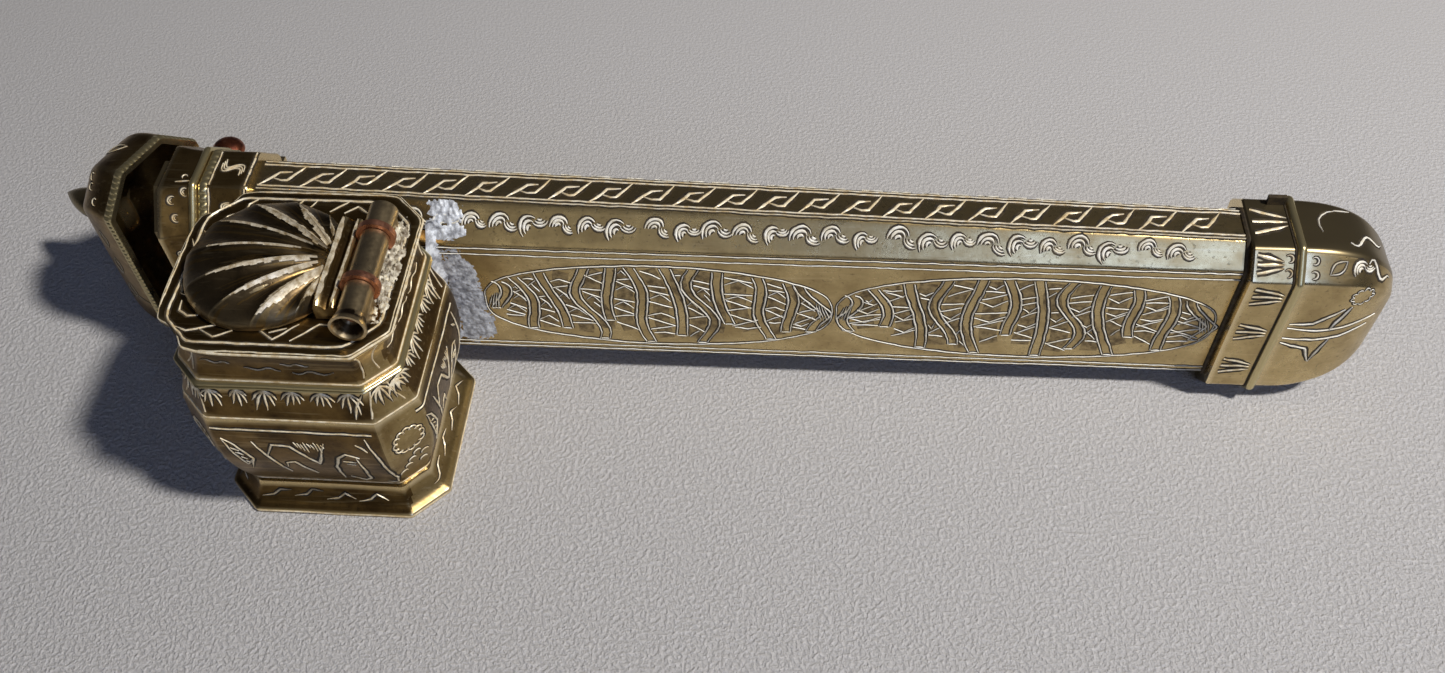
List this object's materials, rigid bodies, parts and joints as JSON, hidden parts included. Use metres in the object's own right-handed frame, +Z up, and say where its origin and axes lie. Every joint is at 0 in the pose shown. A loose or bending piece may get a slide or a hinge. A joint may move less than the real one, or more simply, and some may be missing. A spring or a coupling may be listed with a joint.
{
  "type": "pen case with inkwell",
  "caption": "Long tapered brass scribe's pen case with a hinged domed cap and finial, a domed butt, and a cut-cornered inkwell soldered to its side under a hinged scallop-shell lid.",
  "frame": {"origin": "centre of the underside of the inkwell's foot, on the plane that the object rests on", "axes": "+X along the pen case from its mouth to its butt, +Y from the inkwell to the pen case, +Z up"},
  "size_m": [0.2795, 0.0688, 0.0593],
  "materials": {
    "brass": "aged, with a brown-olive patina and rubbed edges",
    "bright_brass": "rubbed bright on beads and edges",
    "dark_brass": "dark patina",
    "copper": "copper, worn and tarnished",
    "solder": "dull grey soft solder"
  },
  "bodies": {
    "case": {"pen_tube": "brass", "mouth_collar": "brass", "mouth_bead": "bright_brass", "mouth_rope_band": "brass", "mouth_neck": "dark_brass", "butt_collar": "brass", "butt_bead": "bright_brass", "butt_cap": "brass", "butt_tab": "dark_brass", "case_hinge_leaf": "brass", "cap_hinge_pin": "copper", "cap_pin_heads": "copper", "well_foot": "brass", "well_base": "dark_brass", "well_groove": "dark_brass", "well_belly": "brass", "well_band": "brass", "well_bead": "bright_brass", "well_rim": "brass", "well_plate": "dark_brass", "ink_cup": "copper", "ink_mouth_ring": "brass", "solder_seam": "solder", "plate_knuckles": "brass", "lid_hinge_pin": "copper", "lid_washers": "copper"},
    "cap": {"cap_shell": "brass", "cap_rope_rim": "bright_brass", "cap_hinge_knuckle": "brass", "finial_bead": "dark_brass", "finial_bud": "dark_brass"},
    "lid": {"shell_lid": "brass", "lid_bar": "bright_brass", "lid_knuckle": "brass"}
  },
  "joints": [
    {"name": "cap_hinge", "type": "hinge", "parent": "case", "child": "cap", "pos_m": [-0.0295, 0.04435, 0.02275], "axis": [0, 0, -1], "range_deg": [-23, 90]},
    {"name": "lid_hinge", "type": "hinge", "parent": "case", "child": "lid", "pos_m": [0.0155, -0.0008, 0.0558], "axis": [0, 1, 0], "range_deg": [0, 110]}
  ]
}
